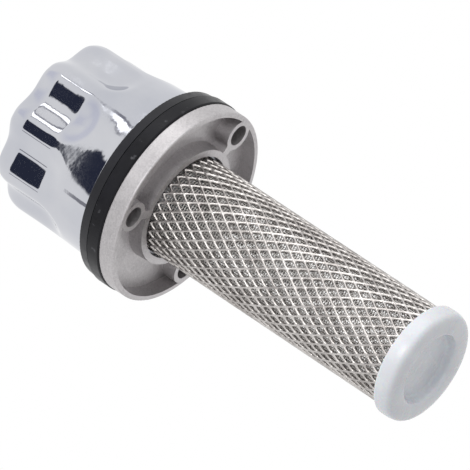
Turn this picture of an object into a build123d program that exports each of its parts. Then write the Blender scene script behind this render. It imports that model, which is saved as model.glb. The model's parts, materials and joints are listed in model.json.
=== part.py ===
"""Filler breather for a hydraulic tank: a screw-down flange, a strainer basket and a bayonet air cap.

Frame: the origin is the centre of the flange's mounting face, +Z runs up the axis towards the cap,
the basket hangs below in -Z, and one of the three screw holes lies on +X. Millimetres throughout.
"""
import os
from math import cos, pi, radians, sin, sqrt, tan

from build123d import *

SAME = 0.01                # two radii closer than this are the same edge

# ---------------------------------------------------------------- driving sizes: flange
FLANGE_R = 25.0            # outer radius of the round flange
FLANGE_T = 4.4             # height of its outer rim
SPIGOT_STEP = 0.8          # the plate inside the rim stands this much higher and centres the gasket
PLATE_T = 1.45             # thickness of the webbed plate
RIM_W = 1.3                # width of the outer rim seen from below
HUB_W = 1.7                # wall of the hub ring round the basket
NECK_TOP_Z = 14.0          # top of the neck that stands up inside the cap
NECK_WALL = 1.2            # wall of the neck
NECK_BORE_GAP = 0.65       # basket to the bore that it hangs in
SEAT_Z = 4.0               # ledge inside the neck that carries the basket
LEDGE_W = 1.9              # width of that ledge
STAKE_H = 0.8              # height of the edge that is staked over the bayonet ring
STAKE_W = 0.7              # how far the staked edge reaches inwards
DRAFT_DEG = 4.0            # draft of the cast walls
HOLE_COUNT = 3
HOLE_PCD = 41.3            # pitch circle of the screw holes
HOLE_R = 2.6               # clearance hole for a 5 mm screw
BOSS_WALL = 1.2            # metal round each screw hole
RIB_W = 2.2                # radial rib from the hub to each boss
CAST_FILLET = 1.2          # radii where the ribs meet the hub and the bosses,
CAST_FILLET_SHARE = 0.75   # at most this share of the rib between them
RIM_ROUND = 0.35           # rounding of the rim's two edges

# ---------------------------------------------------------------- driving sizes: basket
MESH_R = 12.85             # outside of the expanded-metal tube
MESH_T = 0.6               # how deep the expanded strands stand
SCREEN_GAP = 0.05          # expanded metal to wire screen
SCREEN_T = 0.3             # woven wire screen, as one thin wall with the same openings
BASKET_END_Z = -75.4       # lowest point, the face of the end cap
GAP_COLUMNS = 12           # diamond openings round the tube
GAP_ROWS = 8               # rows of openings along the tube, staggered
STRAND_W = 1.15            # width of a strand between two openings
MESH_BAND = 3.2            # plain band at each end of the tube
END_CAP_WALL = 1.55        # moulded end cap, outside the expanded mesh
END_CAP_H = 4.9
END_CAP_FLOOR = 1.4        # floor under the tube
END_CAP_ROUND = 1.5        # rounding of its outer edge
RECESS_R = 8.9             # round recess in the middle of the end cap
RECESS_DEPTH = 2.7
RECESS_TAPER = 0.3
RECESS_ROUND = 0.6
END_CAP_TAPER = 0.25
CAP_GROOVE_CLEAR = 0.05    # end cap to both tubes
COLLAR_T = 0.4             # sheet of the basket's pressed collar
COLLAR_LIP_T = 0.8         # its lip, folded double
COLLAR_CLEAR = 0.05        # collar to mesh
COLLAR_SKIRT = 3.2         # how far the collar reaches down outside the mesh
WASHER_T = 0.8             # fibre washer under the collar

# ---------------------------------------------------------------- driving sizes: bayonet
BAYONET_T = 0.8            # sheet of the bayonet ring
BAYONET_LIP_R = 12.7       # free opening inside its lip
NOTCH_DEG = 32.0           # width of each entry notch
LUG_DEG = 24.0             # width of each lug
LUG_PHASE_DEG = 10.0       # from a screw hole to the locked lug next to it
TURN_DEG = 50.0            # quarter-turn travel from locked to free
RAMP_LOW = 1.1             # depth of the ramp under the lip where it is locked
RAMP_RISE = 0.8            # how much the ramp eases off towards the notch
LUG_T = 1.0                # sheet of the locking plate
STOP_DEG = 4.0             # width of the stop at the locked end
STOP_GAP_DEG = 0.5         # lug to stop when locked
LUG_CLEAR = 0.1            # lug to ramp
LUG_SIDE_CLEAR = 0.25      # lug to the wall of the ring
PART_CLEAR = 0.1           # general clearance between two seated pieces

# ---------------------------------------------------------------- driving sizes: gasket and cap
GASKET_OVERHANG = 0.25     # thick black rubber ring, past the edge of the flange
GASKET_H = 3.65
GASKET_W = 1.6
GASKET_ROUND = 0.3
CAP_BASE_INSET = 0.25      # moulded base ring of the cap, its lower edge inside the gasket's
CAP_BASE_TAPER = 0.25      # and its upper edge inside the lower one
CAP_BASE_H = 2.55
CAP_BASE_WEB = 1.6
CAP_BASE_ROUND = 0.25
TURN_CLEAR = 0.1           # between what stands still and what turns with the cap
PAD_COUNT = 12             # pads that hold the shell clear so that air passes under its rim
PAD_H = 0.6
PAD_W = 3.0
SHELL_T = 0.8              # pressed steel sheet of the cap
SHELL_R = 22.4             # plain lower body
GRIP_R = 21.85             # fluted upper body
SHELL_TOP_Z = 41.2
SHELL_CORNER = 3.0
GRIP_LOW_Z = 21.5          # lower ends of the flutes
SHOULDER_Z = 18.0          # the body starts to ease in here
GRIP_HIGH_Z = 30.0         # and has reached the grip radius here
FLUTE_COUNT = 9
FLUTE_PHASE = 32.7         # one flute is at this angle from the first screw hole
FLUTE_R = 6.0              # radius of the pressing tool
FLUTE_DEPTH_LOW = 1.6
FLUTE_DEPTH_TOP = 2.3
FLUTE_NOSE_RISE = 4.2      # from the lower end of a flute up to the centre of the tool's nose
FLUTE_ROUND = 2.0          # rounding of the flutes' edges outside
FLUTE_ROUND_IN = 0.0       # and inside
TOOL_REACH = 1.2           # length of the pressing tool, as a share of the flute's
CURL_W = 2.0               # rim of the shell turned in under the base plate
CURL_ROUND = 0.48          # outside radius of that turn
BASE_PLATE_T = 0.8
HAT_GAP = 1.2              # neck to the raised middle of the base plate round it
NECK_SEAL_T = 1.0
VENT_COUNT = 6             # breathing holes in the middle of the base plate
VENT_R = 2.2
VENT_PCD = 17.0
SLOT_COUNT = 12            # breathing slots in its outer flange
SLOT_L = 6.0

# ---------------------------------------------------------------- driving sizes: inside the cap
BOLT_R = 2.5
BOLT_HEAD_R = 4.2
BOLT_HEAD_H = 1.8
BAFFLE_R = 11.6
BAFFLE_T = 0.6
BAFFLE_DISH = 0.9
BAFFLE_GAP = 2.0           # collar formed in the baffle, from the locking plate
SPACER_R = 4.0
NUT_AF = 8.0
NUT_H = 3.2
BOLT_WASHER_R = 5.0
BOLT_WASHER_T = 0.8
BOLT_PROUD = 0.8
BOLT_CHAMFER = 0.4
LOCK_HUB_R = 5.5           # middle of the locking plate
LOCK_ARM_W = 4.8
LUG_HEEL = 1.6
ELEMENT_INSET = 0.6        # outside of the air element, inside the plate that it stands on
ELEMENT_CORE_R = 10.8
CORE_T = 0.5
ELEMENT_H = 19.0           # height of the pleated paper
PLEATS = 30
PAPER_T = 0.8
ELEMENT_SEAL_T = 1.0
DISC_T = 0.8
SPRING_T = 0.5             # leaf spring above the element
SPRING_SPAN = 24.0
SPRING_W = 9.0
CORE_WINDOWS_ROUND = 8     # windows in the core of the element
CORE_WINDOWS_HIGH = 2
CORE_WINDOW_W = 5.0
CORE_BAND = 2.0

# ---------------------------------------------------------------- levels and radii that follow
NECK_BORE_R = MESH_R + NECK_BORE_GAP
HUB_R = NECK_BORE_R + HUB_W
SEAT_R = NECK_BORE_R + LEDGE_W
NECK_R = SEAT_R + NECK_WALL
END_CAP_R = MESH_R + END_CAP_WALL
HAT_R = NECK_R + HAT_GAP + BASE_PLATE_T
ELEMENT_R = HAT_R - ELEMENT_INSET
POCKET_R = FLANGE_R - RIM_W
PLATE_TOP_Z = FLANGE_T + SPIGOT_STEP
PLATE_LOW_Z = PLATE_TOP_Z - PLATE_T
HOLE_PITCH_R = HOLE_PCD / 2
BOSS_R = HOLE_R + BOSS_WALL
GASKET_R = FLANGE_R + GASKET_OVERHANG
CAP_BASE_R = GASKET_R - CAP_BASE_INSET
CAP_BASE_TOP_R = CAP_BASE_R - CAP_BASE_TAPER
SPIGOT_R = GASKET_R - GASKET_W - PART_CLEAR
COLLAR_Z = SEAT_Z + WASHER_T
MESH_TOP_Z = COLLAR_Z
MESH_LOW_Z = BASKET_END_Z + END_CAP_FLOOR
SCREEN_R = MESH_R - MESH_T - SCREEN_GAP
SCREEN_IN_R = SCREEN_R - SCREEN_T
COLLAR_R = SEAT_R - PART_CLEAR
COLLAR_TOP_Z = COLLAR_Z + COLLAR_LIP_T
BAYONET_R = SEAT_R - PART_CLEAR
BAYONET_IN_R = BAYONET_R - BAYONET_T
BAYONET_TOP_Z = NECK_TOP_Z - STAKE_H
LIP_LOW_Z = BAYONET_TOP_Z - BAYONET_T
LUG_TOP_Z = LIP_LOW_Z - RAMP_LOW - LUG_CLEAR
LUG_LOW_Z = LUG_TOP_Z - LUG_T
LUG_R = BAYONET_IN_R - LUG_SIDE_CLEAR
GASKET_TOP_Z = FLANGE_T + GASKET_H
CAP_LOW_Z = GASKET_TOP_Z + TURN_CLEAR
CAP_BASE_Z = CAP_LOW_Z + CAP_BASE_H
RIM_LOW_Z = CAP_BASE_Z + PAD_H
BASE_PLATE_Z = RIM_LOW_Z + SHELL_T
SHELL_IN_R = SHELL_R - SHELL_T
HAT_LOW_Z = NECK_TOP_Z + TURN_CLEAR + NECK_SEAL_T
HAT_TOP_Z = HAT_LOW_Z + BASE_PLATE_T
ELEMENT_SEAL_Z = HAT_TOP_Z
LOWER_DISC_Z = ELEMENT_SEAL_Z + ELEMENT_SEAL_T
MEDIA_Z = LOWER_DISC_Z + DISC_T
UPPER_DISC_Z = MEDIA_Z + ELEMENT_H
SPRING_LOW_Z = UPPER_DISC_Z + DISC_T
SHELL_IN_TOP_Z = SHELL_TOP_Z - SHELL_T
BAFFLE_TOP_Z = LUG_LOW_Z - BAFFLE_GAP
BOLT_HEAD_Z = BAFFLE_TOP_Z - BAFFLE_T
NUT_Z = HAT_TOP_Z + BOLT_WASHER_T
HOLE_ANGLES = [360 / HOLE_COUNT * i for i in range(HOLE_COUNT)]
LUG_ANGLES = [angle + LUG_PHASE_DEG for angle in HOLE_ANGLES]
NOTCH_ANGLES = [angle + TURN_DEG for angle in LUG_ANGLES]

os.makedirs("parts", exist_ok=True)


def save(piece, node):
    """Label a finished piece and write it to its own STEP file."""
    piece.part.label = node
    export_step(piece.part, f"parts/{node}.step")


def ring_profile(inner_r, outer_r, low_z, high_z):
    """Rectangle in the r-z plane, for a plain ring about the axis."""
    with BuildSketch(Plane.XZ) as profile:
        with Locations(((inner_r + outer_r) / 2, (low_z + high_z) / 2)):
            Rectangle(outer_r - inner_r, high_z - low_z)
    return profile.sketch


def sector(radius, centre_deg, width_deg):
    """Pie slice from the axis out to a radius, centred on an angle."""
    low = radians(centre_deg - width_deg / 2)
    high = radians(centre_deg + width_deg / 2)
    middle = radians(centre_deg)
    with BuildSketch(mode=Mode.PRIVATE) as slice_:
        with BuildLine():
            start = (radius * cos(low), radius * sin(low))
            end = (radius * cos(high), radius * sin(high))
            Line((0, 0), start)
            ThreePointArc(start, (radius * cos(middle), radius * sin(middle)), end)
            Line(end, (0, 0))
        make_face()
    return slice_.sketch


# ================================================================ flange casting
# One die casting: rim, webbed plate, hub, three screw bosses with ribs, and the neck for the cap.
with BuildPart() as flange_casting:
    with BuildSketch():
        Circle(FLANGE_R)
    extrude(amount=FLANGE_T)
    with BuildSketch(Plane.XY.offset(FLANGE_T)):
        Circle(SPIGOT_R)
    extrude(amount=SPIGOT_STEP)
    # the pocket in the underside, with drafted walls, leaves the rim and the hub standing
    with BuildSketch():
        Circle(POCKET_R)
        Circle(HUB_R, mode=Mode.SUBTRACT)
    extrude(amount=PLATE_LOW_Z, taper=DRAFT_DEG, mode=Mode.SUBTRACT)
    # bosses and ribs fill the pocket again round each screw
    with BuildSketch():
        for angle in HOLE_ANGLES:
            with PolarLocations(HOLE_PITCH_R, 1, start_angle=angle):
                Circle(BOSS_R)
            with PolarLocations((HUB_R + HOLE_PITCH_R) / 2, 1, start_angle=angle):
                Rectangle(HOLE_PITCH_R - HUB_R + HUB_W, RIB_W)
        Circle(HUB_R - HUB_W / 2, mode=Mode.SUBTRACT)
    extrude(amount=PLATE_LOW_Z + PLATE_T / 4)
    # the hollow corners of the ribs are rounded, as the metal left them
    web_corners = [
        edge
        for edge in flange_casting.edges().filter_by(Axis.Z)
        if HUB_R - HUB_W / 2 < Vector(edge.center().X, edge.center().Y).length < POCKET_R
    ]
    fillet(web_corners, min(CAST_FILLET, (HOLE_PITCH_R - BOSS_R - HUB_R) * CAST_FILLET_SHARE))
    rim_edges = flange_casting.edges().filter_by(GeomType.CIRCLE)
    fillet([edge for edge in rim_edges if abs(edge.radius - FLANGE_R) < SAME], RIM_ROUND)
    # neck
    with BuildSketch(Plane.XY.offset(PLATE_LOW_Z)):
        Circle(NECK_R)
    extrude(amount=NECK_TOP_Z - PLATE_LOW_Z)
    with BuildSketch():
        Circle(NECK_BORE_R)
    extrude(amount=NECK_TOP_Z, mode=Mode.SUBTRACT)
    with BuildSketch(Plane.XY.offset(SEAT_Z)):
        Circle(SEAT_R)
    extrude(amount=BAYONET_TOP_Z - SEAT_Z, mode=Mode.SUBTRACT)
    with BuildSketch(Plane.XY.offset(BAYONET_TOP_Z)):
        Circle(SEAT_R - STAKE_W)
    extrude(amount=STAKE_H, mode=Mode.SUBTRACT)
    # screw holes
    with BuildSketch():
        with PolarLocations(HOLE_PITCH_R, HOLE_COUNT):
            Circle(HOLE_R)
    extrude(amount=PLATE_TOP_Z, mode=Mode.SUBTRACT)
save(flange_casting, "flange_casting")

# ================================================================ gasket on the flange
with BuildPart() as flange_gasket:
    with BuildSketch(Plane.XY.offset(FLANGE_T)):
        Circle(GASKET_R)
        Circle(GASKET_R - GASKET_W, mode=Mode.SUBTRACT)
    extrude(amount=GASKET_H)
    gasket_edges = flange_gasket.edges().filter_by(GeomType.CIRCLE)
    chamfer([edge for edge in gasket_edges if abs(edge.radius - GASKET_R) < SAME], GASKET_ROUND)
save(flange_gasket, "flange_gasket")

# ================================================================ bayonet ring
# A pressed ring staked into the neck: a skirt, a lip with three notches, ramps and end stops.
with BuildPart() as bayonet_ring:
    add(revolve(ring_profile(BAYONET_IN_R, BAYONET_R, COLLAR_TOP_Z, BAYONET_TOP_Z), Axis.Z))
    with BuildSketch(Plane.XY.offset(LIP_LOW_Z)):
        Circle(BAYONET_R)
        Circle(BAYONET_LIP_R, mode=Mode.SUBTRACT)
    extrude(amount=BAYONET_T)
    for lug_angle in LUG_ANGLES:
        ramp_deg = TURN_DEG - NOTCH_DEG / 2 + LUG_DEG / 2
        ramp_middle = lug_angle - LUG_DEG / 2 + ramp_deg / 2
        ramp_length = 2 * BAYONET_IN_R * tan(radians(ramp_deg / 2))
        # the wedge is drawn on a plane tangent to the ring and pushed in towards the axis
        tangent = Plane(
            origin=(BAYONET_R * cos(radians(ramp_middle)), BAYONET_R * sin(radians(ramp_middle)), 0),
            x_dir=(-sin(radians(ramp_middle)), cos(radians(ramp_middle)), 0),
            z_dir=(cos(radians(ramp_middle)), sin(radians(ramp_middle)), 0),
        )
        with BuildPart(mode=Mode.PRIVATE) as ramp:
            with BuildSketch(tangent):
                with BuildLine():
                    Polyline(
                        (-ramp_length / 2, LIP_LOW_Z),
                        (-ramp_length / 2, LIP_LOW_Z - RAMP_LOW),
                        (-ramp_length / 6, LIP_LOW_Z - RAMP_LOW),
                        (ramp_length / 2, LIP_LOW_Z - RAMP_LOW + RAMP_RISE),
                        (ramp_length / 2, LIP_LOW_Z),
                        close=True,
                    )
                make_face()
            extrude(amount=-BAYONET_R)
            with BuildSketch(Plane.XY.offset(LIP_LOW_Z - RAMP_LOW)):
                add(sector(BAYONET_IN_R, ramp_middle, ramp_deg))
                Circle(BAYONET_LIP_R, mode=Mode.SUBTRACT)
            extrude(amount=RAMP_LOW, mode=Mode.INTERSECT)
        add(ramp.part)
        with BuildSketch(Plane.XY.offset(LUG_LOW_Z)):
            add(sector(BAYONET_IN_R, lug_angle - LUG_DEG / 2 - STOP_DEG / 2 - STOP_GAP_DEG, STOP_DEG))
            Circle(BAYONET_LIP_R, mode=Mode.SUBTRACT)
        extrude(amount=LIP_LOW_Z - LUG_LOW_Z)
    for notch_angle in NOTCH_ANGLES:
        with BuildSketch(Plane.XY.offset(LIP_LOW_Z)):
            add(sector(BAYONET_IN_R, notch_angle, NOTCH_DEG))
        extrude(amount=BAYONET_T, mode=Mode.SUBTRACT)
save(bayonet_ring, "bayonet_ring")

# ================================================================ basket
with BuildPart() as basket_washer:
    add(revolve(ring_profile(NECK_BORE_R + PART_CLEAR, COLLAR_R, SEAT_Z, COLLAR_Z), Axis.Z))
save(basket_washer, "basket_washer")

# The pressed collar: a lip on the washer, a skirt outside the mesh and an inner lip over its end.
with BuildPart() as basket_collar:
    with BuildSketch(Plane.XZ):
        with BuildLine():
            Polyline(
                (SCREEN_IN_R, COLLAR_TOP_Z),
                (COLLAR_R, COLLAR_TOP_Z),
                (COLLAR_R, COLLAR_Z),
                (MESH_R + COLLAR_CLEAR + COLLAR_T, COLLAR_Z),
                (MESH_R + COLLAR_CLEAR + COLLAR_T, COLLAR_Z - COLLAR_SKIRT),
                (MESH_R + COLLAR_CLEAR, COLLAR_Z - COLLAR_SKIRT),
                (MESH_R + COLLAR_CLEAR, COLLAR_Z),
                (SCREEN_IN_R, COLLAR_Z),
                close=True,
            )
        make_face()
    revolve(axis=Axis.Z)
save(basket_collar, "basket_collar")

# Expanded metal rolled into a tube: staggered diamond openings, long way along the axis. The woven
# screen inside it is far finer, so it is one wall that is open at the same places.
row_pitch = (MESH_TOP_Z - MESH_LOW_Z - 2 * MESH_BAND) / (GAP_ROWS + 1) * 2
column_pitch = 2 * pi * MESH_R / GAP_COLUMNS
strand_slope = sqrt(row_pitch**2 + column_pitch**2)
gap_high = row_pitch - STRAND_W * strand_slope / column_pitch
gap_wide = column_pitch - STRAND_W * strand_slope / row_pitch
with BuildPart() as gaps:
    for row in range(GAP_ROWS):
        gap_z = MESH_LOW_Z + MESH_BAND + (row + 1) * row_pitch / 2
        for column in range(GAP_COLUMNS):
            gap_deg = 360 / GAP_COLUMNS * (column + (row % 2) / 2)
            outward = (cos(radians(gap_deg)), sin(radians(gap_deg)), 0)
            face = Plane(origin=(0, 0, gap_z), x_dir=(-outward[1], outward[0], 0), z_dir=outward)
            with BuildSketch(face.offset(MESH_R - 3 * MESH_T)):
                with BuildLine():
                    Polyline(
                        (gap_wide / 2, 0), (0, gap_high / 2), (-gap_wide / 2, 0), (0, -gap_high / 2),
                        close=True,
                    )
                make_face()
    extrude(amount=4 * MESH_T)

with BuildPart() as expanded_mesh:
    add(revolve(ring_profile(MESH_R - MESH_T, MESH_R, MESH_LOW_Z, MESH_TOP_Z), Axis.Z))
    add(gaps.part, mode=Mode.SUBTRACT)
save(expanded_mesh, "expanded_mesh")

with BuildPart() as wire_screen:
    add(revolve(ring_profile(SCREEN_IN_R, SCREEN_R, MESH_LOW_Z, MESH_TOP_Z), Axis.Z))
    add(gaps.part, mode=Mode.SUBTRACT)
save(wire_screen, "wire_screen")

# One moulding: a cup whose floor is pushed in at the middle, with a groove that holds both tubes.
with BuildPart() as basket_end_cap:
    groove_out_r = MESH_R + CAP_GROOVE_CLEAR
    groove_in_r = SCREEN_IN_R - CAP_GROOVE_CLEAR
    cup_top_z = BASKET_END_Z + END_CAP_H
    boss_top_z = BASKET_END_Z + RECESS_DEPTH + END_CAP_FLOOR
    with BuildSketch(Plane.XZ):
        with BuildLine():
            Polyline(
                (0, BASKET_END_Z + RECESS_DEPTH),
                (RECESS_R - RECESS_TAPER, BASKET_END_Z + RECESS_DEPTH),
                (RECESS_R, BASKET_END_Z),
                (END_CAP_R, BASKET_END_Z),
                (END_CAP_R - END_CAP_TAPER, cup_top_z),
                (groove_out_r, cup_top_z),
                (groove_out_r, MESH_LOW_Z),
                (groove_in_r, MESH_LOW_Z),
                (groove_in_r, boss_top_z),
                (0, boss_top_z),
                close=True,
            )
        make_face()
    revolve(axis=Axis.Z)
    face_edges = basket_end_cap.edges().filter_by(GeomType.CIRCLE).group_by(Axis.Z)[0]
    fillet([edge for edge in face_edges if abs(edge.radius - END_CAP_R) < SAME], END_CAP_ROUND)
    low_edges = basket_end_cap.edges().filter_by(GeomType.CIRCLE).group_by(Axis.Z)[0]
    chamfer(low_edges.sort_by(SortBy.RADIUS)[0], RECESS_ROUND)
save(basket_end_cap, "basket_end_cap")

# ================================================================ cap shell
# Drawn from one sheet: nine flutes are pressed in from the side and the rim is turned under.


def pressing_tool(radius):
    """Round-nosed bar that leans in towards the top and presses one flute."""
    nose_z = GRIP_LOW_Z + FLUTE_NOSE_RISE
    low_axis_r = GRIP_R + FLUTE_R - FLUTE_DEPTH_LOW
    top_axis_r = GRIP_R + FLUTE_R - FLUTE_DEPTH_TOP
    lean = Vector(top_axis_r - low_axis_r, 0, SHELL_TOP_Z - nose_z)
    with BuildPart() as tool:
        with BuildSketch(Plane(origin=(low_axis_r, 0, nose_z), x_dir=(0, 1, 0), z_dir=lean)):
            Circle(radius)
        extrude(amount=lean.length * TOOL_REACH)
        with Locations((low_axis_r, 0, nose_z)):
            Sphere(radius)
    return tool.part


def fluted_body(inset, edge_round):
    """Solid of the fluted cap; inset by the sheet it is the hollow inside."""
    low_r = SHELL_R - inset
    grip_r = GRIP_R - inset
    top_z = SHELL_TOP_Z - inset
    corner = SHELL_CORNER - inset
    with BuildPart() as body:
        with BuildSketch(Plane.XZ):
            with BuildLine():
                Line((0, RIM_LOW_Z), (low_r, RIM_LOW_Z))
                Line((low_r, RIM_LOW_Z), (low_r, SHOULDER_Z))
                Spline((low_r, SHOULDER_Z), (grip_r, GRIP_HIGH_Z), tangents=((0, 1), (0, 1)))
                Line((grip_r, GRIP_HIGH_Z), (grip_r, top_z - corner))
                RadiusArc((grip_r, top_z - corner), (grip_r - corner, top_z), -corner)
                Line((grip_r - corner, top_z), (0, top_z))
                Line((0, top_z), (0, RIM_LOW_Z))
            make_face()
        revolve(axis=Axis.Z)
        tool = pressing_tool(FLUTE_R + inset)
        for flute in range(FLUTE_COUNT):
            add(tool.rotate(Axis.Z, FLUTE_PHASE + 360 / FLUTE_COUNT * flute), mode=Mode.SUBTRACT)
        if edge_round > 0:
            # the tool leaves a flute bordered by free curves; every circle lies along the body or the tool
            free_curves = [edge for edge in body.edges() if edge.geom_type != GeomType.CIRCLE]
            flute_edges = [edge for edge in free_curves if edge.geom_type != GeomType.LINE]
            fillet(flute_edges, edge_round)
    return body.part


with BuildPart() as cap_shell:
    add(fluted_body(0, FLUTE_ROUND))
    add(fluted_body(SHELL_T, FLUTE_ROUND_IN), mode=Mode.SUBTRACT)
    # the rim is turned in under the base plate
    with BuildSketch(Plane.XY.offset(RIM_LOW_Z)):
        Circle(SHELL_R)
        Circle(SHELL_R - CURL_W, mode=Mode.SUBTRACT)
    extrude(amount=SHELL_T)
    low_edges = cap_shell.edges().filter_by(GeomType.CIRCLE).group_by(Axis.Z)[0]
    fillet(low_edges.sort_by(SortBy.RADIUS)[-1], CURL_ROUND)
save(cap_shell, "cap_shell")

# ================================================================ moulded base ring of the cap
with BuildPart() as cap_base:
    with BuildSketch(Plane.XZ):
        with BuildLine():
            Polyline(
                (SPIGOT_R, CAP_LOW_Z),
                (CAP_BASE_R, CAP_LOW_Z),
                (CAP_BASE_TOP_R, CAP_BASE_Z),
                (HAT_R + PART_CLEAR, CAP_BASE_Z),
                (HAT_R + PART_CLEAR, CAP_BASE_Z - CAP_BASE_WEB),
                (SPIGOT_R, CAP_BASE_Z - CAP_BASE_WEB),
                close=True,
            )
        make_face()
    revolve(axis=Axis.Z)
    top_edges = cap_base.edges().filter_by(GeomType.CIRCLE).group_by(Axis.Z)[-1]
    fillet(top_edges.sort_by(SortBy.RADIUS)[-1], CAP_BASE_ROUND)
    # pads carry the rim of the shell, so air passes between them
    pad_inner_r = SHELL_R - CURL_W
    with BuildSketch(Plane.XY.offset(CAP_BASE_Z)):
        with PolarLocations((pad_inner_r + SHELL_R) / 2, PAD_COUNT):
            Rectangle(SHELL_R - pad_inner_r, PAD_W)
    extrude(amount=PAD_H)
save(cap_base, "cap_base")

# ================================================================ base plate and neck seal
# A pressed hat: its flange is gripped by the rim of the shell, its crown stands over the neck.
with BuildPart() as base_plate:
    with BuildSketch(Plane.XZ):
        with BuildLine():
            Polyline(
                (BOLT_R + PART_CLEAR, HAT_TOP_Z),
                (HAT_R, HAT_TOP_Z),
                (HAT_R, BASE_PLATE_Z + BASE_PLATE_T),
                (SHELL_IN_R - PART_CLEAR, BASE_PLATE_Z + BASE_PLATE_T),
                (SHELL_IN_R - PART_CLEAR, BASE_PLATE_Z),
                (HAT_R - BASE_PLATE_T, BASE_PLATE_Z),
                (HAT_R - BASE_PLATE_T, HAT_LOW_Z),
                (BOLT_R + PART_CLEAR, HAT_LOW_Z),
                close=True,
            )
        make_face()
    revolve(axis=Axis.Z)
    with BuildSketch(Plane.XY.offset(HAT_LOW_Z)):
        with PolarLocations(VENT_PCD / 2, VENT_COUNT):
            Circle(VENT_R)
    extrude(amount=BASE_PLATE_T, mode=Mode.SUBTRACT)
    slot_r = (HAT_R + SHELL_R - CURL_W) / 2
    with BuildSketch(Plane.XY.offset(BASE_PLATE_Z)):
        with PolarLocations(slot_r, SLOT_COUNT, start_angle=180 / SLOT_COUNT):
            Rectangle(SHELL_R - CURL_W - HAT_R - 2 * PART_CLEAR, SLOT_L)
    extrude(amount=BASE_PLATE_T, mode=Mode.SUBTRACT)
save(base_plate, "base_plate")

with BuildPart() as neck_seal:
    seal_out_r = HAT_R - BASE_PLATE_T - PART_CLEAR
    add(revolve(ring_profile(SEAT_R, seal_out_r, HAT_LOW_Z - NECK_SEAL_T, HAT_LOW_Z), Axis.Z))
save(neck_seal, "neck_seal")

# ================================================================ locking plate, baffle and bolt
with BuildPart() as locking_plate:
    with BuildSketch(Plane.XY.offset(LUG_LOW_Z)):
        Circle(LOCK_HUB_R)
        for lug_angle in LUG_ANGLES:
            with PolarLocations(LUG_R / 2, 1, start_angle=lug_angle):
                Rectangle(LUG_R, LOCK_ARM_W)
            with BuildSketch(mode=Mode.PRIVATE) as lug:
                add(sector(LUG_R, lug_angle, LUG_DEG))
                Circle(BAYONET_LIP_R - LUG_SIDE_CLEAR - LUG_HEEL, mode=Mode.SUBTRACT)
            add(lug.sketch)
        Circle(BOLT_R + PART_CLEAR, mode=Mode.SUBTRACT)
    extrude(amount=LUG_T)
    with BuildSketch(Plane.XY.offset(LUG_LOW_Z)):
        Circle(LUG_R, mode=Mode.ADD)
    extrude(amount=LUG_T, mode=Mode.INTERSECT)
save(locking_plate, "locking_plate")

with BuildPart() as splash_baffle:
    with BuildSketch(Plane.XZ):
        with BuildLine():
            Polyline(
                (BOLT_R + PART_CLEAR, LUG_LOW_Z),
                (BOLT_R + PART_CLEAR + BAFFLE_T, LUG_LOW_Z),
                (BOLT_R + PART_CLEAR + BAFFLE_T, BAFFLE_TOP_Z),
                (BAFFLE_R - BAFFLE_DISH, BAFFLE_TOP_Z),
                (BAFFLE_R, BAFFLE_TOP_Z - BAFFLE_DISH),
                (BAFFLE_R - BAFFLE_T, BAFFLE_TOP_Z - BAFFLE_DISH - BAFFLE_T / 2),
                (BAFFLE_R - BAFFLE_DISH - BAFFLE_T / 2, BAFFLE_TOP_Z - BAFFLE_T),
                (BOLT_R + PART_CLEAR, BAFFLE_TOP_Z - BAFFLE_T),
                close=True,
            )
        make_face()
    revolve(axis=Axis.Z)
save(splash_baffle, "splash_baffle")

with BuildPart() as centre_bolt:
    bolt_top_z = NUT_Z + NUT_H + BOLT_PROUD
    with BuildSketch(Plane.XY.offset(BOLT_HEAD_Z)):
        Circle(BOLT_HEAD_R)
    extrude(amount=-BOLT_HEAD_H)
    fillet(centre_bolt.edges().filter_by(GeomType.CIRCLE).group_by(Axis.Z)[0], BOLT_HEAD_H / 2)
    with BuildSketch(Plane.XY.offset(BOLT_HEAD_Z)):
        Circle(BOLT_R)
    extrude(amount=bolt_top_z - BOLT_HEAD_Z)
    chamfer(centre_bolt.edges().filter_by(GeomType.CIRCLE).group_by(Axis.Z)[-1], BOLT_CHAMFER)
save(centre_bolt, "centre_bolt")

with BuildPart() as spacer_tube:
    add(revolve(ring_profile(BOLT_R + PART_CLEAR, SPACER_R, LUG_TOP_Z, HAT_LOW_Z), Axis.Z))
save(spacer_tube, "spacer_tube")

with BuildPart() as bolt_washer:
    add(revolve(ring_profile(BOLT_R + PART_CLEAR, BOLT_WASHER_R, HAT_TOP_Z, NUT_Z), Axis.Z))
save(bolt_washer, "bolt_washer")

with BuildPart() as bolt_nut:
    with BuildSketch(Plane.XY.offset(NUT_Z)):
        RegularPolygon(NUT_AF / 2, 6, major_radius=False)
        Circle(BOLT_R + PART_CLEAR / 2, mode=Mode.SUBTRACT)
    extrude(amount=NUT_H)
save(bolt_nut, "bolt_nut")

# ================================================================ air element
with BuildPart() as element_seal:
    add(revolve(ring_profile(ELEMENT_CORE_R + CORE_T, ELEMENT_R, ELEMENT_SEAL_Z, LOWER_DISC_Z), Axis.Z))
save(element_seal, "element_seal")

with BuildPart() as element_lower_disc:
    add(revolve(ring_profile(ELEMENT_CORE_R, ELEMENT_R, LOWER_DISC_Z, MEDIA_Z), Axis.Z))
save(element_lower_disc, "element_lower_disc")

with BuildPart() as element_upper_disc:
    with BuildSketch(Plane.XY.offset(UPPER_DISC_Z)):
        Circle(ELEMENT_R)
    extrude(amount=DISC_T)
save(element_upper_disc, "element_upper_disc")

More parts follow.
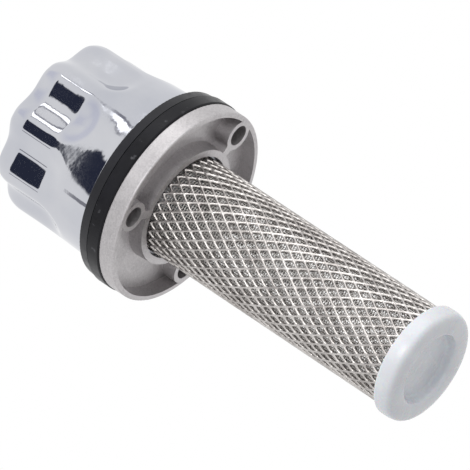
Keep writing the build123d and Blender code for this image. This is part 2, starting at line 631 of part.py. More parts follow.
# pleated paper: a closed zigzag band of even thickness
with BuildPart() as filter_paper:
    fold_in_r = ELEMENT_CORE_R + CORE_T + PART_CLEAR
    fold_out_r = ELEMENT_R - PART_CLEAR - PAPER_T
    step = 360 / PLEATS / 2
    with BuildSketch(Plane.XY.offset(MEDIA_Z)):
        for grow, mode in ((PAPER_T, Mode.ADD), (0, Mode.SUBTRACT)):
            with BuildLine():
                Polyline(
                    *[
                        (
                            ((fold_out_r if i % 2 else fold_in_r) + grow) * cos(radians(i * step)),
                            ((fold_out_r if i % 2 else fold_in_r) + grow) * sin(radians(i * step)),
                        )
                        for i in range(2 * PLEATS)
                    ],
                    close=True,
                )
            make_face(mode=mode)
    extrude(amount=ELEMENT_H)
save(filter_paper, "filter_paper")

with BuildPart() as element_core:
    add(revolve(ring_profile(ELEMENT_CORE_R, ELEMENT_CORE_R + CORE_T, MEDIA_Z, UPPER_DISC_Z), Axis.Z))
    level_h = ELEMENT_H / CORE_WINDOWS_HIGH
    with BuildPart(mode=Mode.PRIVATE) as windows:
        for level in range(CORE_WINDOWS_HIGH):
            with Locations((0, 0, MEDIA_Z + level_h * (level + 0.5))):
                with PolarLocations(ELEMENT_CORE_R, CORE_WINDOWS_ROUND):
                    Box(4 * CORE_T, CORE_WINDOW_W, level_h - CORE_BAND)
    add(windows.part, mode=Mode.SUBTRACT)
save(element_core, "element_core")

# bowed leaf spring that holds the element down on its seal
with BuildPart() as element_spring:
    with BuildSketch(Plane.XZ):
        with BuildLine():
            ThreePointArc(
                (-SPRING_SPAN / 2, SPRING_LOW_Z),
                (0, SHELL_IN_TOP_Z - SPRING_T),
                (SPRING_SPAN / 2, SPRING_LOW_Z),
            )
            Line((SPRING_SPAN / 2, SPRING_LOW_Z), (SPRING_SPAN / 2, SPRING_LOW_Z + SPRING_T))
            ThreePointArc(
                (SPRING_SPAN / 2, SPRING_LOW_Z + SPRING_T),
                (0, SHELL_IN_TOP_Z),
                (-SPRING_SPAN / 2, SPRING_LOW_Z + SPRING_T),
            )
            Line((-SPRING_SPAN / 2, SPRING_LOW_Z + SPRING_T), (-SPRING_SPAN / 2, SPRING_LOW_Z))
        make_face()
    extrude(amount=SPRING_W / 2, both=True)
save(element_spring, "element_spring")
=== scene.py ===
# %% [markdown]
# # A hydraulic filler breather
# A filler breather is screwed to the top of an oil tank. Its chromed cap lets air in and out through
# a paper filter, and turns off so that oil can be poured in. The basket that hangs below the flange
# keeps dirt out of the oil. The solid model holds every piece at its own size. This lesson
# dresses it: it gives each piece its finish, builds the two layers of the basket strand by strand
# and wire by wire, and lights everything as a product picture is lit.

import json
import math

import bpy
import numpy as np
from mathutils import Matrix, Vector


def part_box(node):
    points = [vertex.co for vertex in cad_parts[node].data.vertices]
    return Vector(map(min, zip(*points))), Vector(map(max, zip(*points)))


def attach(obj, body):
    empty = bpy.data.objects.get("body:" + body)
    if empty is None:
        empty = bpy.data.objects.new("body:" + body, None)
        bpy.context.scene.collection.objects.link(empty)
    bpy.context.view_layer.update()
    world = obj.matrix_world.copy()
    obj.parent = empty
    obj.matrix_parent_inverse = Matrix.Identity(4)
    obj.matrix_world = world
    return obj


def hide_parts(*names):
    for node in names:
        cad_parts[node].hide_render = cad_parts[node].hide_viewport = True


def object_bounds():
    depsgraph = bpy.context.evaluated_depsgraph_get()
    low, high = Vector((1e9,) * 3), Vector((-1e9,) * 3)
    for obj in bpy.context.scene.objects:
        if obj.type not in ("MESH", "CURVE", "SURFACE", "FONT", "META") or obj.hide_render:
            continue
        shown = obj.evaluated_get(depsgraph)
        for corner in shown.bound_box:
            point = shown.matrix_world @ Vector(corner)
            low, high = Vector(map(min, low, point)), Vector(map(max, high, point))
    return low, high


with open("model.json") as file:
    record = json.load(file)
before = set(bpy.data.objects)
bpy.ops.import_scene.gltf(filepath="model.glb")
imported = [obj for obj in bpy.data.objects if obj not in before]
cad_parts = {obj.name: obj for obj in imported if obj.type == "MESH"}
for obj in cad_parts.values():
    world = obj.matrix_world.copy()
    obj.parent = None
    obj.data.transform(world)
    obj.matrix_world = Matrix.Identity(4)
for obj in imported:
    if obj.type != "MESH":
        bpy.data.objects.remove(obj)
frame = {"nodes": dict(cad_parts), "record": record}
first_bounds = [list(corner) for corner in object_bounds()]
MM = 0.001


# %% [markdown]
# ## Building finishes out of noise
# No real surface has one single colour. A casting is cloudy, rubber is dusty, and chrome carries
# the faint waves of the sheet below it. Each finish here starts from the same three layers:
# a slow cloud that shifts the colour, a middle one that makes some places shinier than others, and
# a fine grain that bends the light. Keeping them in one helper means that every finish can be read
# as a short list of numbers. Object coordinates are used because they are in metres, so a
# grain of a given size stays that size on every piece.


# %% Helpers for node materials
def node(tree, kind, **values):
    """A new shader node. Values with a capital first letter are input sockets, others are settings."""
    made = tree.nodes.new(kind)
    for name, value in values.items():
        if name[0].isupper():
            made.inputs[name.replace("_", " ")].default_value = value
        else:
            setattr(made, name, value)
    return made


def rgba(red, green, blue):
    """A colour given in the usual 0 to 255 steps, as the linear values that a shader works in."""
    def straight(step):
        value = step / 255
        return value / 12.92 if value <= 0.04045 else ((value + 0.055) / 1.055) ** 2.4

    return (straight(red), straight(green), straight(blue), 1.0)


def noise(tree, size, detail=4.0):
    """Noise whose lumps are about size metres across."""
    where = node(tree, "ShaderNodeTexCoord")
    made = node(tree, "ShaderNodeTexNoise", Scale=1 / size, Detail=detail)
    tree.links.new(where.outputs["Object"], made.inputs["Vector"])
    return made


def spread(tree, source, low, high, start=0.3, end=0.7):
    """Stretches a value that runs from start to end so that it runs from low to high."""
    made = node(tree, "ShaderNodeMapRange", From_Min=start, From_Max=end, To_Min=low, To_Max=high)
    tree.links.new(source, made.inputs["Value"])
    return made.outputs["Result"]


def blend_colour(tree, factor, first, second):
    """A colour that goes from first to second as factor goes from 0 to 1."""
    made = node(tree, "ShaderNodeMix", data_type="RGBA")
    tree.links.new(factor, made.inputs[0])
    for socket, value in ((made.inputs[6], first), (made.inputs[7], second)):
        if isinstance(value, tuple):
            socket.default_value = value
        else:
            tree.links.new(value, socket)
    return made.outputs[2]


def bump(tree, height, depth, below=None):
    """Bends the surface by a height value of the given depth in metres, on top of an earlier bump."""
    made = node(tree, "ShaderNodeBump", Distance=depth)
    tree.links.new(height, made.inputs["Height"])
    if below is not None:
        tree.links.new(below, made.inputs["Normal"])
    return made.outputs["Normal"]


MATERIALS = {}


def finish(slot, light, dark, metallic, rough, cloud, grain, depth, **shader_values):
    """A finish with a cloudy colour, an uneven shine and a fine grain. rough holds its lowest and
    highest roughness."""
    made = bpy.data.materials.new(slot)
    made.use_nodes = True
    tree = made.node_tree
    shader = tree.nodes["Principled BSDF"]
    shader.inputs["Metallic"].default_value = metallic
    for name, value in shader_values.items():
        shader.inputs[name.replace("_", " ")].default_value = value
    slow = noise(tree, cloud)
    colour = blend_colour(tree, spread(tree, slow.outputs[0], 0, 1), light, dark)
    tree.links.new(colour, shader.inputs["Base Color"])
    patches = noise(tree, cloud / 3, detail=8.0)
    tree.links.new(spread(tree, patches.outputs[0], *rough), shader.inputs["Roughness"])
    fine = noise(tree, grain, detail=3.0)
    tree.links.new(bump(tree, fine.outputs[0], depth), shader.inputs["Normal"])
    MATERIALS[slot] = made
    return tree, shader, colour


# %% [markdown]
# ## The metals
# The flange is an aluminium die casting. Its skin is not polished, so it is a bright grey that
# sparkles a little where the metal froze in small crystals. Small cells give that sparkle: each is
# tilted a little by a bump, and each is painted some way towards a lighter grey, a painted glint.
# The cap is pressed steel with a chrome plate: almost a mirror, with a little haze and slow waves
# from pressing. The strainer is plain bright steel, and the parts inside are zinc plated, which is duller and
# slightly blue.

# %% The metals
CRYSTAL_SIZE = 0.35 * MM
CRYSTAL_DEPTH = 0.012 * MM
SKIN_GRAIN = 0.5 * MM
SKIN_DEPTH = 0.03 * MM

tree, shader, colour = finish("die_cast", rgba(184, 181, 182), rgba(168, 165, 167), 0.88, (0.36, 0.52),
                              9 * MM, 0.45 * MM, 0.035 * MM)
where = node(tree, "ShaderNodeTexCoord")
crystals = node(tree, "ShaderNodeTexVoronoi", Scale=1 / CRYSTAL_SIZE)
tree.links.new(where.outputs["Object"], crystals.inputs["Vector"])
# every crystal cell is painted some way towards a lighter grey: a painted glint for light sparkling off the
# crystals
painted_glint = spread(tree, crystals.outputs["Color"], 0, 1, 0.0, 1.0)
tree.links.new(blend_colour(tree, painted_glint, colour, rgba(196, 193, 194)), shader.inputs["Base Color"])
tilt = bump(tree, crystals.outputs["Color"], CRYSTAL_DEPTH)
skin = noise(tree, SKIN_GRAIN)
tree.links.new(bump(tree, skin.outputs[0], SKIN_DEPTH, tilt), shader.inputs["Normal"])

finish("chrome_shell", rgba(203, 204, 209), rgba(190, 192, 200), 1.0, (0.03, 0.075),
       14 * MM, 5 * MM, 0.02 * MM)
finish("mesh_steel", rgba(212, 208, 205), rgba(168, 163, 160), 0.95, (0.2, 0.38),
       5 * MM, 0.3 * MM, 0.02 * MM)
finish("wire_cloth", rgba(226, 223, 220), rgba(172, 168, 165), 0.9, (0.25, 0.5),
       3 * MM, 0.25 * MM, 0.01 * MM)
finish("zinc_steel", rgba(196, 198, 204), rgba(168, 170, 176), 0.95, (0.25, 0.42),
       6 * MM, 0.6 * MM, 0.015 * MM)
print("metals:", sorted(MATERIALS))

# %% [markdown]
# ## Rubber, plastic and paper
# Rubber is nearly black, but its moulded skin is smooth and picks up dust. The end cap of the
# basket is cast in a milky plastic that lets light a short way in, so its edges look softer and
# brighter than its faces. That is what subsurface scattering does in a shader.

# %% Rubber, plastic and paper
DUST_SIZE = 2.2 * MM
DUST_STARTS, DUST_FULL = 0.66, 0.8
DUST_COVER = 0.55

tree, shader, colour = finish("black_rubber", rgba(17, 17, 21), rgba(24, 24, 29), 0.0, (0.26, 0.42),
                              7 * MM, 0.3 * MM, 0.006 * MM, Specular_IOR_Level=0.18)
dust = noise(tree, DUST_SIZE, detail=9.0)
dusty = spread(tree, dust.outputs[0], 0, DUST_COVER, DUST_STARTS, DUST_FULL)
tree.links.new(blend_colour(tree, dusty, colour, rgba(150, 150, 156)), shader.inputs["Base Color"])
finish("milky_plastic", rgba(233, 236, 241), rgba(222, 225, 231), 0.0, (0.2, 0.32),
       8 * MM, 0.5 * MM, 0.008 * MM, Subsurface_Weight=0.2, Subsurface_Scale=1.2 * MM)
finish("dark_moulding", rgba(30, 30, 35), rgba(22, 22, 27), 0.0, (0.28, 0.45),
       7 * MM, 0.3 * MM, 0.008 * MM, Specular_IOR_Level=0.3)
finish("white_moulding", rgba(214, 212, 206), rgba(198, 196, 190), 0.0, (0.4, 0.55),
       7 * MM, 0.4 * MM, 0.01 * MM)
finish("fibre", rgba(150, 96, 66), rgba(120, 74, 50), 0.0, (0.7, 0.9), 2 * MM, 0.15 * MM, 0.03 * MM)
finish("pleated_paper", rgba(222, 206, 170), rgba(200, 182, 146), 0.0, (0.8, 0.95),
       4 * MM, 0.2 * MM, 0.04 * MM)
print("finishes:", len(MATERIALS))

# %% [markdown]
# ## Handing out the finishes
# The record of the solid model names a finish for every piece. Reading that list instead of typing
# it again keeps the picture and the model in step.

# %% Give each solid its finish
for part in frame["record"]["subparts"]:
    solid = frame["nodes"][part["node"]]
    solid.data.materials.clear()
    solid.data.materials.append(MATERIALS[part["material_slot"]])
    print(part["node"], "->", part["material_slot"])


# %% [markdown]
# ## Turning arrays into pieces
# Repeated shapes such as wires are quickest to make as arrays of points. The first helper below
# turns such arrays into a mesh, shades it smoothly except at real corners, hides the solid it
# stands for and hangs the piece on an empty for its body. The others place points on a tube and
# turn an outline about the axis, as a lathe does, which makes the cap and the end cap.


# %% Helpers that make a piece
def piece(name, points, faces, slot, body, stands_for, corner=40.0):
    """Makes a mesh piece out of points and faces in metres. An edge sharper than corner stays sharp."""
    mesh = bpy.data.meshes.new(name)
    mesh.from_pydata([tuple(p) for p in points], [], [tuple(f) for f in faces])
    mesh.validate()
    mesh.polygons.foreach_set("use_smooth", [True] * len(mesh.polygons))
    mesh.set_sharp_from_angle(angle=math.radians(corner))
    mesh.materials.append(MATERIALS[slot])
    made = bpy.data.objects.new(name, mesh)
    bpy.context.scene.collection.objects.link(made)
    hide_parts(*stands_for)
    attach(made, body)
    print(name, "faces:", len(mesh.polygons))


def around(count):
    """The angles of a full turn in count even steps."""
    return np.arange(count) * 2 * math.pi / count


def on_tube(angle, radius, height):
    """Points of a round tube about the vertical axis."""
    return np.stack([radius * np.cos(angle), radius * np.sin(angle), height + 0 * angle], axis=-1)


def turned(radius, height, columns):
    """Points and faces of a closed outline turned about the axis. Each row is a point of the outline,
    and the radius may differ from column to column."""
    points = on_tube(around(columns)[None, :], radius, height).reshape(-1, 3)
    index = np.arange(len(points)).reshape(len(height), columns)
    index = np.concatenate([index, index[:1]])
    beyond = np.roll(index, -1, axis=1)
    return points, np.stack([index[:-1], beyond[:-1], beyond[1:], index[1:]], axis=-1).reshape(-1, 4)


# %% [markdown]
# ## The pressed cap
# The cap is drawn from one sheet, and nine flutes are pressed in from the side so that an oily
# hand can turn it. A press cannot make a sharp step: each flute starts with no slope, is
# deepest in the middle and ends in a soft round nose. A formula for the depth at every angle
# and height gives that more truly than a groove cut with a sharp tool, and it also keeps the
# reflections in the chrome smooth. The outside and the inside of the sheet follow the same
# formula, so the sheet has the same thickness everywhere.

# %% Press the cap
FLUTES = 9
FLUTE_PHASE = math.radians(32.7)
FLUTE_HALF_WIDTH = math.radians(18.2)
FLUTE_DEPTH = 2.25 * MM
FLUTE_NOSE = 27.0 * MM
FLUTE_NOSE_LENGTH = 7.5 * MM
FLUTE_FADE = 5.0 * MM
CAP_SHEET = 0.8 * MM
CAP_CORNER = 3.0 * MM
CAP_CORNER_HEIGHT = 5.5 * MM
CAP_TURN_IN = 2.0 * MM
CAP_RIM_ROUND = 0.45 * MM
CAP_CORNER_POWER = 0.9
GRIP_INSET = 0.55 * MM
SHOULDER = (10.5 * MM, 30.0 * MM)
TOP_OPENING = 0.4 * MM  # the outline stops this far from the axis, so a pinhole stays in the middle
CAP_COLUMNS = 432
RIM_STEPS, WALL_STEPS, CORNER_STEPS, TOP_STEPS = 6, 68, 20, 16
INNER_WALL_STEPS, INNER_CORNER_STEPS = 40, 12

low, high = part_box("cap_shell")
cap_radius = high.x
cap_low, cap_top = low.z, high.z
corner_low = cap_top - CAP_CORNER_HEIGHT
grip = cap_radius - GRIP_INSET


def soft_step(part):
    """Goes from 0 to 1 with a soft start and a soft end."""
    return part * part * (3 - 2 * part)


def side_radius(height):
    """Radius of the cap's wall before the flutes are pressed: the grip is a little narrower than the foot."""
    part = np.clip((height - SHOULDER[0]) / (SHOULDER[1] - SHOULDER[0]), 0, 1)
    return cap_radius - GRIP_INSET * soft_step(part)


def arc(centre, radius, start, end, steps):
    """Points of a circle's arc in the radius and height plane, with angles in degrees."""
    turn = np.radians(np.linspace(start, end, steps))
    return np.stack([centre[0] + radius * np.cos(turn), centre[1] + radius * np.sin(turn)], axis=-1)


def corner_curve(inset, steps):
    """The rounded shoulder at the top of the cap, taller than it is wide. inset is how far it lies
    below the outer face of the sheet."""
    turn = np.radians(np.linspace(0, 90, steps))
    return np.stack([grip - CAP_CORNER + (CAP_CORNER - inset) * np.cos(turn) ** CAP_CORNER_POWER,
                     corner_low + (CAP_CORNER_HEIGHT - inset) * np.sin(turn)], axis=-1)


wall_heights = np.linspace(cap_low + CAP_RIM_ROUND, corner_low, WALL_STEPS)[1:-1]
top_radii = np.linspace(grip - CAP_CORNER, TOP_OPENING, TOP_STEPS)[1:]
outside = np.concatenate([
    [[cap_radius - CAP_TURN_IN, cap_low]],
    arc((cap_radius - CAP_RIM_ROUND, cap_low + CAP_RIM_ROUND), CAP_RIM_ROUND, -90, 0, RIM_STEPS),
    np.stack([side_radius(wall_heights), wall_heights], axis=-1),
    corner_curve(0.0, CORNER_STEPS),
    np.stack([top_radii, np.full(len(top_radii), cap_top)], axis=-1)])
inner_heights = np.linspace(corner_low, cap_low + CAP_SHEET, INNER_WALL_STEPS)
inside = np.concatenate([
    [[TOP_OPENING, cap_top - CAP_SHEET]],
    corner_curve(CAP_SHEET, INNER_CORNER_STEPS)[:0:-1],
    np.stack([side_radius(inner_heights) - CAP_SHEET, inner_heights], axis=-1),
    [[cap_radius - CAP_TURN_IN, cap_low + CAP_SHEET]]])
outline = np.concatenate([outside, inside])
pitch = 2 * math.pi / FLUTES
from_flute = (around(CAP_COLUMNS) - FLUTE_PHASE + pitch / 2) % pitch - pitch / 2
below_nose = np.clip(FLUTE_NOSE - outline[:, 1], 0, None) / FLUTE_NOSE_LENGTH
beside = from_flute[None, :] / FLUTE_HALF_WIDTH
bowl = np.clip(1 - beside ** 2 - below_nose[:, None] ** 2, 0, 1) ** 2
# the flutes run out over the shoulder, so the flat top stays flat
reach = np.clip((outline[:, 0] - (grip - CAP_CORNER - FLUTE_FADE)) / (CAP_CORNER + FLUTE_FADE), 0, 1)
pressed = FLUTE_DEPTH * bowl * soft_step(reach)[:, None]
points, faces = turned(outline[:, :1] - pressed, outline[:, 1:], CAP_COLUMNS)
piece("pressed_cap", points, faces, "chrome_shell", "cap", ["cap_shell"])

# %% [markdown]
# ## The strainer sleeve
# Expanded metal starts as a flat sheet. A press cuts rows of short slits and pulls the sheet
# wider, and every slit opens to a diamond. So the sleeve is built of diamond cells set like bricks.
# Each cell is a set of loops that shrink from the middle of the strand to the edge of the hole and
# then go down to the inner face, which gives the strand its rounded back. Pulling also twists each
# strand a little, so the upper edge of every hole lies lower than its lower edge.

# %% Expand the strainer sleeve
DIAMONDS_AROUND = 31
DIAMONDS_ALONG = 18
STRAND = 0.8 * MM
SHEET = 0.6 * MM
STRAND_TILT = 0.09 * MM
LOOP_POINTS = 12
WELD = 0.001 * MM

low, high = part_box("expanded_mesh")
sleeve_radius = high.x
step_angle = 2 * math.pi / DIAMONDS_AROUND
step_height = (high.z - low.z) / DIAMONDS_ALONG
half_width = step_angle / 2 * sleeve_radius
half_height = step_height / 2
inset = STRAND / 2 * math.hypot(half_width, half_height) / (half_width * half_height)
# how far in from the middle of the strand, how far below the outer face, and how round the loop is
STRAND_LOOPS = ((0.0, 0.0, 1.0), (0.5, 0.07, 1.12), (0.85, 0.2, 1.3), (1.0, 0.42, 1.42),
                (0.85, 0.85, 1.3), (0.0, 1.0, 1.0))

cells = [(i, j + 0.5) for i in range(DIAMONDS_AROUND) for j in range(DIAMONDS_ALONG)]
cells += [(i + 0.5, j) for i in range(DIAMONDS_AROUND) for j in range(1, DIAMONDS_ALONG)]
cells = np.array(cells, float)
turn = around(LOOP_POINTS)
cos, sin = np.round(np.cos(turn), 12), np.round(np.sin(turn), 12)
layers = []
for inward, down, power in STRAND_LOOPS:
    scale = 1 - inset * inward
    across = scale * 0.5 * np.sign(cos) * np.abs(cos) ** (2 / power)
    along = scale * 0.5 * np.sign(sin) * np.abs(sin) ** (2 / power)
    angle = (cells[:, :1] + across) * step_angle
    height = low.z + (cells[:, 1:] + along) * step_height
    lean = STRAND_TILT * inward * (1 + sin) * (1 - down)
    layers.append(on_tube(angle, sleeve_radius - down * SHEET - lean, height))
points = np.stack(layers, axis=1).reshape(-1, 3)
index = np.arange(len(points)).reshape(len(cells), len(STRAND_LOOPS), LOOP_POINTS)
after = np.roll(index, -1, axis=2)
faces = np.stack([index[:, :-1], after[:, :-1], after[:, 1:], index[:, 1:]], axis=-1).reshape(-1, 4)
# weld the points that neighbouring cells share along the middle of a strand
keys = np.round(points / WELD).astype(np.int64)
_, first, same = np.unique(keys, axis=0, return_index=True, return_inverse=True)
same = same.reshape(-1)
points, faces = points[first], same[faces]
# the zigzag ends of the sleeve are open edges: join their outer and inner lines
outer_lines = same[np.stack([index[:, 0], after[:, 0]], axis=-1)].reshape(-1, 2)
inner_lines = same[np.stack([index[:, -1], after[:, -1]], axis=-1)].reshape(-1, 2)
seen = {}
for outer, inner in zip(outer_lines, inner_lines):
    seen.setdefault(tuple(sorted(outer)), []).append((outer, inner))
ends = [(o[1], o[0], i[0], i[1]) for pairs in seen.values() if len(pairs) == 1 for o, i in pairs]
faces = list(map(tuple, faces)) + ends
piece("strainer_sleeve", points, faces, "mesh_steel", "flange", ["expanded_mesh"], corner=60.0)

# %% [markdown]
# ## The wire cloth
# Behind the sleeve lies a fine cloth that does the real filtering. It is woven like linen: a wire
# goes over one and under the next. The wires are only about a quarter of a millimetre thick, so
# tubes with three sides are enough. The first family runs in rings and the second along the
# basket, and at a crossing they bend in opposite ways.

# %% Weave the wire cloth
WIRES_AROUND = 112
WIRES_ALONG = 116
WIRE_RADIUS = 0.14 * MM
WEAVE = 0.075 * MM
WIRE_SIDES = 3

low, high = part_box("wire_screen")
cloth_radius = high.x - WEAVE - WIRE_RADIUS
ring_index, bar_index = np.meshgrid(np.arange(WIRES_ALONG), np.arange(WIRES_AROUND), indexing="ij")
sign = np.where((ring_index + bar_index) % 2 == 0, 1.0, -1.0)
bar_angle = bar_index * 2 * math.pi / WIRES_AROUND
ring_height = low.z + WIRE_RADIUS + (high.z - low.z - 2 * WIRE_RADIUS) * ring_index / (WIRES_ALONG - 1)
side_turn = around(WIRE_SIDES)
wire_points, wire_faces = [], []


def add_wires(points, closed):
    """Adds tubes: points has one row per wire, one column per crossing and one layer per side."""
    wires, crossings, sides, _ = points.shape
    start = sum(len(p) for p in wire_points)
    index = start + np.arange(wires * crossings * sides).reshape(wires, crossings, sides)
    ahead = np.roll(index, -1, axis=1)
    beside, both = np.roll(index, -1, axis=2), np.roll(ahead, -1, axis=2)
    quads = np.stack([index, ahead, both, beside], axis=-1)
    quads = quads if closed else quads[:, :-1]
    wire_points.append(points.reshape(-1, 3))
    wire_faces.extend(map(tuple, quads.reshape(-1, 4)))
    if not closed:
        wire_faces.extend(map(tuple, index[:, 0]))
        wire_faces.extend(map(tuple, index[:, -1, ::-1]))


out = WIRE_RADIUS * np.cos(side_turn)
over = WIRE_RADIUS * np.sin(side_turn)
ring_radius = cloth_radius + WEAVE * sign[..., None] + out
add_wires(on_tube(bar_angle[..., None] + 0 * out, ring_radius, ring_height[..., None] + over), True)
bar_radius = cloth_radius - WEAVE * sign[..., None] + out
bars = on_tube(bar_angle[..., None] - over / cloth_radius, bar_radius, ring_height[..., None] + 0 * out)
add_wires(bars.transpose(1, 0, 2, 3), False)
piece("wire_cloth_sleeve", np.concatenate(wire_points), wire_faces, "wire_cloth", "flange",
      ["wire_screen"], corner=180.0)

# %% [markdown]
# ## The end cap
# The bottom of the basket is closed by a soft plastic cup. A mould for such a part has no sharp
# edges, so its face is like a flat doughnut: it falls away to the side wall and into the round recess
# in the middle. A profile of a few points, rounded by cutting its corners again and again, is
# turned about the axis to give that form.

# %% Turn the end cap
END_CAP_COLUMNS = 160
CORNER_CUTS = 3
CUP_GAP = 0.05 * MM
# the rest of these are in millimetres
NEAR_AXIS = 0.02
RECESS_DEPTH = 2.7
RECESS_FLOOR = 1.4
# radius and height above the face, from the middle of the recess out and up to the cup's rim
CUP_PROFILE = ((NEAR_AXIS, RECESS_DEPTH), (4.0, RECESS_DEPTH), (7.6, 2.75), (8.6, 2.6), (8.9, 0.5),
               (9.5, -0.1), (12.3, 0.1), (13.9, 0.7), (14.3, 2.3), (14.4, 4.5), (14.1, 4.9))

low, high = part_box("basket_end_cap")
face_z, cup_z, cup_radius = low.z, high.z, high.x
sleeve_low, sleeve_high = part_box("expanded_mesh")
mesh_low = sleeve_low.z
sleeve_outer = sleeve_high.x + CUP_GAP
screen_inner = cloth_radius - WEAVE - WIRE_RADIUS - CUP_GAP


def cut_corners(line, times):
    """Chaikin's rule: replaces every inner corner by two points, a quarter and three quarters of the way."""
    for _ in range(times):
        quarter = line[:-1] * 0.75 + line[1:] * 0.25
        three = line[:-1] * 0.25 + line[1:] * 0.75
        middle = np.stack([quarter, three], axis=1).reshape(-1, 2)
        line = np.concatenate([line[:1], middle[1:-1], line[-1:]])
    return line


face_line = cut_corners(np.array(CUP_PROFILE), CORNER_CUTS) * MM + [0, face_z]
face_line[:, 0] = np.minimum(face_line[:, 0], cup_radius)
face_line[:, 1] = np.clip(face_line[:, 1], face_z, cup_z)
back_z = face_z + (RECESS_DEPTH + RECESS_FLOOR) * MM
back_line = np.array([[sleeve_outer, cup_z], [sleeve_outer, mesh_low], [screen_inner, mesh_low],
                      [screen_inner, back_z], [NEAR_AXIS * MM, back_z]])
line = np.concatenate([face_line, back_line])
points, faces = turned(line[:, :1], line[:, 1:], END_CAP_COLUMNS)
piece("end_cup", points, faces, "milky_plastic", "flange", ["basket_end_cap"])

# %% [markdown]
# ## Studio and camera
# The picture is a cut-out on white: the object seems to float. The camera stands far away with a
# long lens, so lines stay almost parallel, and looks up at the basket. It is turned about
# its own line of sight, which is why the basket points down to the right.

# %% Camera
CAMERA_AZIMUTH = math.radians(24.3)
CAMERA_BELOW = math.radians(27.2)
CAMERA_ROLL = math.radians(56.4)
CAMERA_DISTANCE = 1.8
DOTS_PER_MM = 4.3224
PICTURE = 470
ORIGIN_IN_PICTURE = (185.94, 207.32)
SENSOR = 36.0

back = Vector((math.cos(CAMERA_AZIMUTH) * math.cos(CAMERA_BELOW),
               math.sin(CAMERA_AZIMUTH) * math.cos(CAMERA_BELOW), -math.sin(CAMERA_BELOW)))
axis_up = (Vector((0, 0, 1)) - back.z * back).normalized()
axis_right = axis_up.cross(back)
up = math.cos(CAMERA_ROLL) * axis_up + math.sin(CAMERA_ROLL) * axis_right
right = math.cos(CAMERA_ROLL) * axis_right - math.sin(CAMERA_ROLL) * axis_up
aim = ((PICTURE / 2 - ORIGIN_IN_PICTURE[0]) * right - (PICTURE / 2 - ORIGIN_IN_PICTURE[1]) * up)
aim *= MM / DOTS_PER_MM
camera_data = bpy.data.cameras.new("camera")
camera_data.sensor_width = SENSOR
camera_data.lens = SENSOR * DOTS_PER_MM / MM * CAMERA_DISTANCE / PICTURE
camera = bpy.data.objects.new("camera", camera_data)
facing = Matrix((right, up, back)).transposed().to_4x4()
camera.matrix_world = Matrix.Translation(aim + CAMERA_DISTANCE * back) @ facing
bpy.context.scene.collection.objects.link(camera)
bpy.context.scene.camera = camera
print("lens:", round(camera_data.lens, 1), "mm")

# %% [markdown]
# ## World and floor
# Metal has no look of its own: it shows what stands around it. So the white of the background is
# shown to the lens and to every mirror ray, while the light that the world really gives is much
# weaker. The floor is there for looks from above. It lets rays from below through, so a camera
# under it sees the object.

# %% World and floor
WORLD_LIGHT = 0.53
FLOOR_SIZE = 3.0
FLOOR_GAP = 0.2 * MM
WHITE = (1, 1, 1, 1)


def mix_shaders(tree, factor, first, second, output):
    """Goes from the first shader to the second by a factor, into an output node of the given kind."""
    mixed = node(tree, "ShaderNodeMixShader")
    tree.links.new(factor, mixed.inputs[0])
    tree.links.new(first.outputs[0], mixed.inputs[1])
    tree.links.new(second.outputs[0], mixed.inputs[2])
    tree.links.new(mixed.outputs[0], node(tree, output).inputs[0])


def two_way(tree, operation, first, second):
    """The result of a sum on two values, such as the larger of the two."""
    made = node(tree, "ShaderNodeMath", operation=operation)
    tree.links.new(first, made.inputs[0])
    tree.links.new(second, made.inputs[1])
    return made.outputs[0]


def bare_material(name):
    """A material with an empty node tree, and that tree."""
    made = bpy.data.materials.new(name)
    made.use_nodes = True
    made.node_tree.nodes.clear()
    return made, made.node_tree


world = bpy.data.worlds.new("studio")
bpy.context.scene.world = world
world.use_nodes = True
tree = world.node_tree
tree.nodes.clear()
path = node(tree, "ShaderNodeLightPath")
seen = two_way(tree, "MAXIMUM", path.outputs["Is Camera Ray"], path.outputs["Is Glossy Ray"])
seen = two_way(tree, "MAXIMUM", seen, path.outputs["Is Transmission Ray"])
dim = node(tree, "ShaderNodeBackground", Color=WHITE, Strength=WORLD_LIGHT)
bright = node(tree, "ShaderNodeBackground", Color=WHITE, Strength=1.0)
mix_shaders(tree, seen, dim, bright, "ShaderNodeOutputWorld")

floor_material, tree = bare_material("floor_paper")
path = node(tree, "ShaderNodeLightPath")
side = node(tree, "ShaderNodeNewGeometry")
shown = two_way(tree, "GREATER_THAN", path.outputs["Is Camera Ray"], side.outputs["Backfacing"])
paper = node(tree, "ShaderNodeBsdfDiffuse", Color=rgba(240, 240, 240), Roughness=0.6)
clear = node(tree, "ShaderNodeBsdfTransparent")
mix_shaders(tree, shown, clear, paper, "ShaderNodeOutputMaterial")

floor_mesh = bpy.data.meshes.new("floor")
half = FLOOR_SIZE / 2
floor_height = first_bounds[0][2] - FLOOR_GAP
floor_corners = [(x * half, y * half, floor_height) for x, y in ((-1, -1), (1, -1), (1, 1), (-1, 1))]
floor_mesh.from_pydata(floor_corners, [], [(0, 1, 2, 3)])
floor_mesh.materials.append(floor_material)
floor = bpy.data.objects.new("floor", floor_mesh)
bpy.context.scene.collection.objects.link(floor)
print("floor at:", round(floor_height / MM, 2), "mm")


# %% [markdown]
# ## Lamps
# Large soft lamps light the dull pieces: the key lamp from above, a weak one from the left, one over
# the cap and one from near the camera. The left and the top lamp are hidden from mirrors, because in
# chrome they would show as plain white squares.


# %% Lamps
def lamp(name, towards, distance, size, level, in_mirrors):
    """A square soft lamp. level is how bright it makes a white sheet at the origin that faces it."""
    data = bpy.data.lights.new(name, "AREA")
    data.size = size
    data.energy = level * math.pi ** 2 * distance ** 2
    made = bpy.data.objects.new(name, data)
    direction = towards.normalized()
    made.location = direction * distance
    made.rotation_euler = (-direction).to_track_quat("-Z", "Y").to_euler()
    made.visible_glossy = in_mirrors
    bpy.context.scene.collection.objects.link(made)


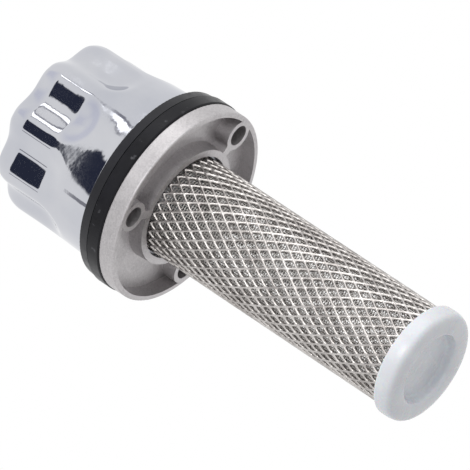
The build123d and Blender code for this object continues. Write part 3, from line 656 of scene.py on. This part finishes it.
lamp("key", 0.9 * up + 0.15 * right + 0.5 * back, 0.9, 0.7, 0.33, True)
lamp("side", -0.8 * right + 0.2 * up + 0.5 * back, 1.0, 0.6, 0.15, False)
lamp("top", Vector((0.3, -0.2, 1.0)), 1.1, 0.6, 0.25, False)
lamp("front", -0.37 * right + 0.25 * up + 0.88 * back, 1.0, 0.4, 0.23, True)
print("lamps:", len(bpy.data.lights))


# %% [markdown]
# ## Cards for the chrome
# A mirror in a white room shows nothing but white. So a photographer stands dark and bright cards
# around chrome to draw edges in its reflection. Each card here is a patch of a big sphere, placed
# by compass angle and height, and only mirrors see it. A bright card between two grey ones makes a
# light with a thin outline, which is what gives polished metal its bite.


# %% Cards
CARD_DISTANCE = 0.7
CARD_STEPS = 16
LAMP_WHITE = (2.4, 2.4, 2.4)
OUTLINE_GREY = (0.3, 0.3, 0.34)
# name, then rows of height, left and right edge from the bottom up in degrees, then how bright it is
# in red, green and blue (1 is white), then how many steps its edge takes to fade
CARDS = (
    ("dark_card", ((26, -34, 17), (30.6, -30, 19), (31.4, -28, 27), (32.3, -27, 24), (33.2, -21, 16),
                   (33.9, -12, 5)), (0.03, 0.035, 0.06), 1),
    ("thin_card", ((20, -46, -39), (33, -46, -41)), (0.3, 0.3, 0.33), 1),
    ("bright_card", ((30, 60, 66), (31, 54, 68), (32, 60, 72), (33.2, 69, 73)), LAMP_WHITE, 1),
    ("left_border", ((30, 56, 60), (31, 50, 54), (32, 56, 60), (33.2, 65, 69)), OUTLINE_GREY, 1),
    ("right_border", ((30, 66, 70), (31, 68, 72), (32, 72, 76), (33.2, 73, 77)), OUTLINE_GREY, 1),
    ("ridge_card", ((26, 77, 95), (29.7, 77, 95)), LAMP_WHITE, 1),
    ("ridge_border", ((26, 73.5, 77), (29.7, 73.5, 77)), (0.35, 0.35, 0.4), 1),
    ("blue_sky", ((34, 0, 82), (84, 6, 88)), (0.84, 0.85, 0.93), 5),
)


def card(name, rows, brightness, soft):
    """A patch of a sphere that only mirrors see. Its cover fades to nothing over the outermost soft
    steps, so that its reflection has a soft edge."""
    made_material, tree = bare_material(name)
    glow = node(tree, "ShaderNodeEmission", Color=(*brightness, 1.0), Strength=1.0)
    clear = node(tree, "ShaderNodeBsdfTransparent")
    cover = node(tree, "ShaderNodeAttribute", attribute_name="cover")
    mix_shaders(tree, cover.outputs["Fac"], clear, glow, "ShaderNodeOutputMaterial")
    heights, lefts, rights = zip(*rows)
    corners, cover_values = [], []
    for j in range(CARD_STEPS + 1):
        height_degrees = heights[0] + (heights[-1] - heights[0]) * j / CARD_STEPS
        height = math.radians(height_degrees)
        left = np.interp(height_degrees, heights, lefts)
        right_edge = np.interp(height_degrees, heights, rights)
        for i in range(CARD_STEPS + 1):
            azimuth = math.radians(left + (right_edge - left) * i / CARD_STEPS)
            corners.append((CARD_DISTANCE * math.cos(height) * math.cos(azimuth),
                            CARD_DISTANCE * math.cos(height) * math.sin(azimuth),
                            CARD_DISTANCE * math.sin(height)))
            cover_values.append(min(1.0, min(i, j, CARD_STEPS - i, CARD_STEPS - j) / soft))
    wide = CARD_STEPS + 1
    quads = [(j * wide + i, j * wide + i + 1, (j + 1) * wide + i + 1, (j + 1) * wide + i)
             for j in range(CARD_STEPS) for i in range(CARD_STEPS)]
    mesh = bpy.data.meshes.new(name)
    mesh.from_pydata(corners, [], quads)
    mesh.attributes.new("cover", "FLOAT", "POINT").data.foreach_set("value", cover_values)
    mesh.materials.append(made_material)
    made = bpy.data.objects.new(name, mesh)
    made.visible_camera = made.visible_diffuse = made.visible_shadow = False
    made.visible_transmission = made.visible_volume_scatter = False
    bpy.context.scene.collection.objects.link(made)


for values in CARDS:
    card(*values)
print("cards around the object:", len(CARDS))

# %% [markdown]
# ## Last settings
# The plain Standard view shows a colour as it was written.

# %% Finish
bpy.context.scene.view_settings.view_transform = "Standard"
